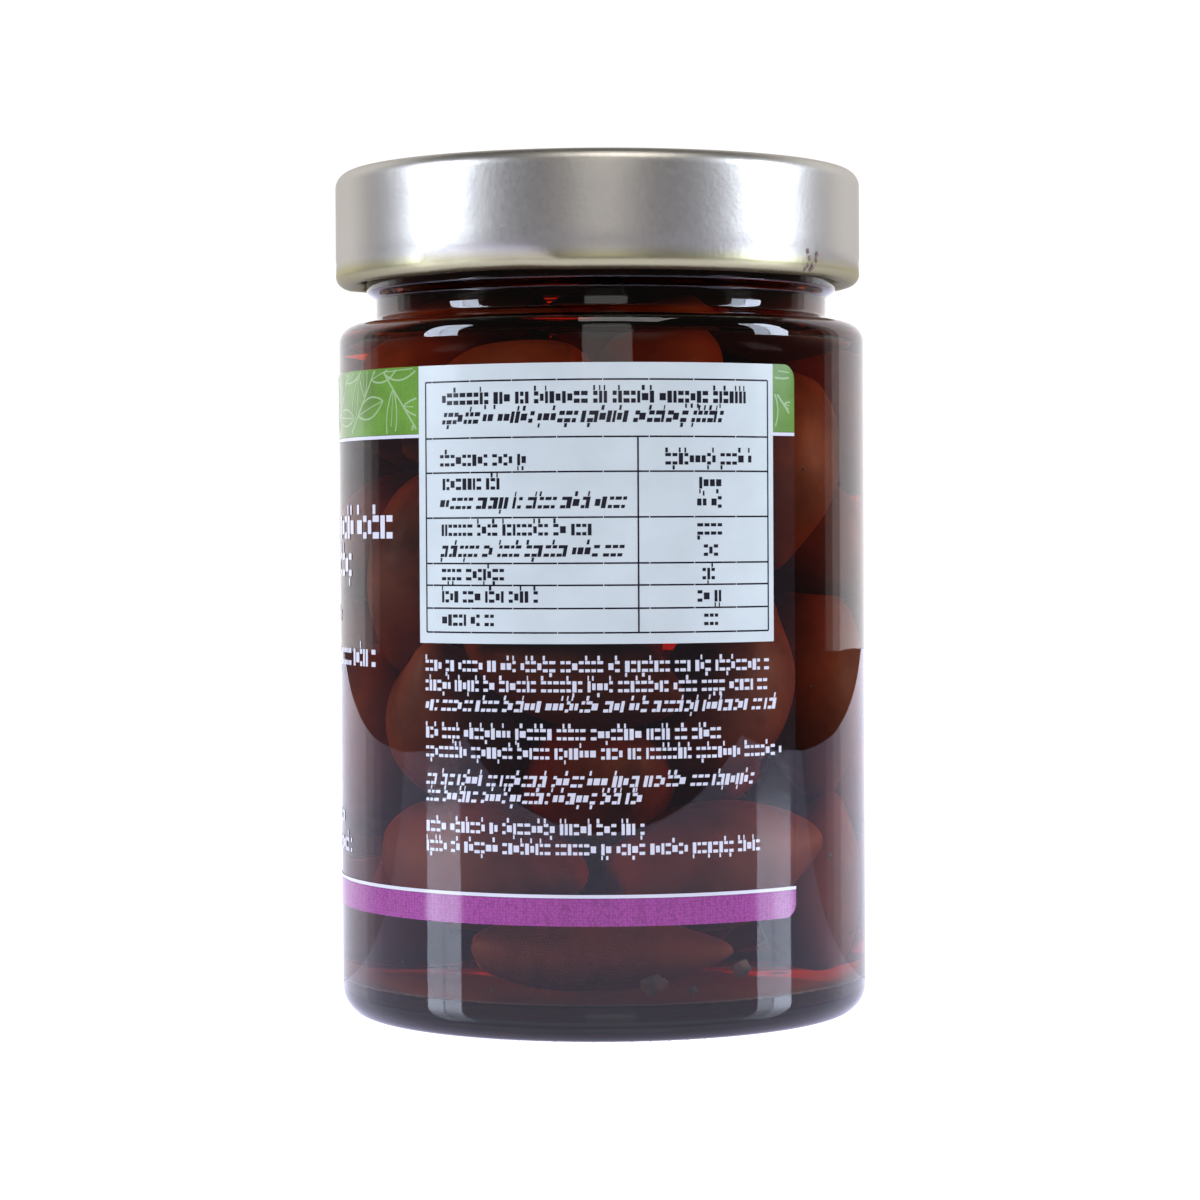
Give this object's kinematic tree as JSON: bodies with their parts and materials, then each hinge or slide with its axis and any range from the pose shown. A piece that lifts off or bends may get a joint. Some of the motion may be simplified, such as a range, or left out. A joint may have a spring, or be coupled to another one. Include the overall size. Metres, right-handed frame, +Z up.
{
  "type": "jar of olives",
  "caption": "Round glass jar of dark olives in brine, with a drawn-in neck, a metal twist-off lid and a clear film label that carries a pale table, a green band and a magenta band.",
  "frame": {"origin": "middle of the base, on the surface that the jar stands on", "axes": "+Z up along the jar's axis; the label's printed table faces -Y, and +X is to the right of someone who reads it"},
  "size_m": [0.0734, 0.0732, 0.1165],
  "materials": {
    "glass": "gloss",
    "lid_metal": "satin",
    "brine": "gloss",
    "label_film": "gloss",
    "print_white": "satin",
    "print_green": "satin",
    "print_magenta": "satin",
    "print_dark": "satin",
    "olive": "satin",
    "sediment": "matte"
  },
  "bodies": {
    "root": {"jar": "glass", "lid": "lid_metal", "brine": "brine", "label": "label_film"}
  },
  "joints": []
}
